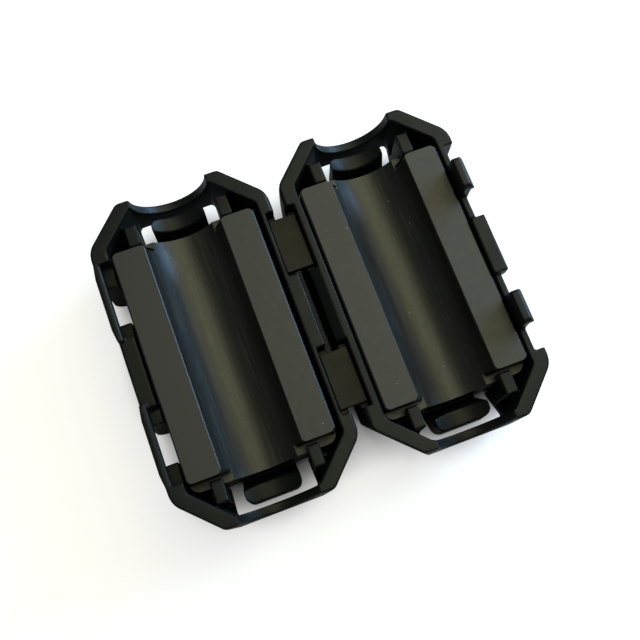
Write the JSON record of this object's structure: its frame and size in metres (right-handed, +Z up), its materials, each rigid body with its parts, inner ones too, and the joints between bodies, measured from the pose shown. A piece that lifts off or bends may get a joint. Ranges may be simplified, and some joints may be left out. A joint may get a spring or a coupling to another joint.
{
  "type": "clip-on ferrite bead",
  "caption": "Hinged snap-shut plastic case holding split ferrite cores, which folds round a cable to suppress high-frequency noise.",
  "frame": {"origin": "midway between the two film lines of the living hinge and midway along the case, on the plane that both shells lie on when open", "axes": "+X from the shell with the latch loops to the shell with the hooks, +Y along the cable and the hinge, +Z up, out of the open cores' mating faces"},
  "size_m": [0.0439, 0.0386, 0.0127],
  "materials": {
    "case_plastic": "satin moulded",
    "ferrite_ceramic": "ground, fine matte"
  },
  "bodies": {
    "loop_half": {"case_half_loops": "case_plastic", "ferrite_half_left": "ferrite_ceramic"},
    "hinge_straps": {"hinge_strap_far": "case_plastic", "hinge_strap_near": "case_plastic"},
    "hook_half": {"case_half_hooks": "case_plastic", "ferrite_half_right": "ferrite_ceramic"}
  },
  "joints": [
    {"name": "fold_at_loop_half", "type": "hinge", "parent": "loop_half", "child": "hinge_straps", "pos_m": [-0.0015, 0, 0.00865], "axis": [0, -1, 0], "range_deg": [0, 90]},
    {"name": "fold_at_hook_half", "type": "hinge", "parent": "hinge_straps", "child": "hook_half", "pos_m": [0.0015, 0, 0.00865], "axis": [0, -1, 0], "range_deg": [0, 90]}
  ],
  "couplings": [
    {"joint": "fold_at_hook_half", "follows": "fold_at_loop_half", "ratio": 1}
  ]
}
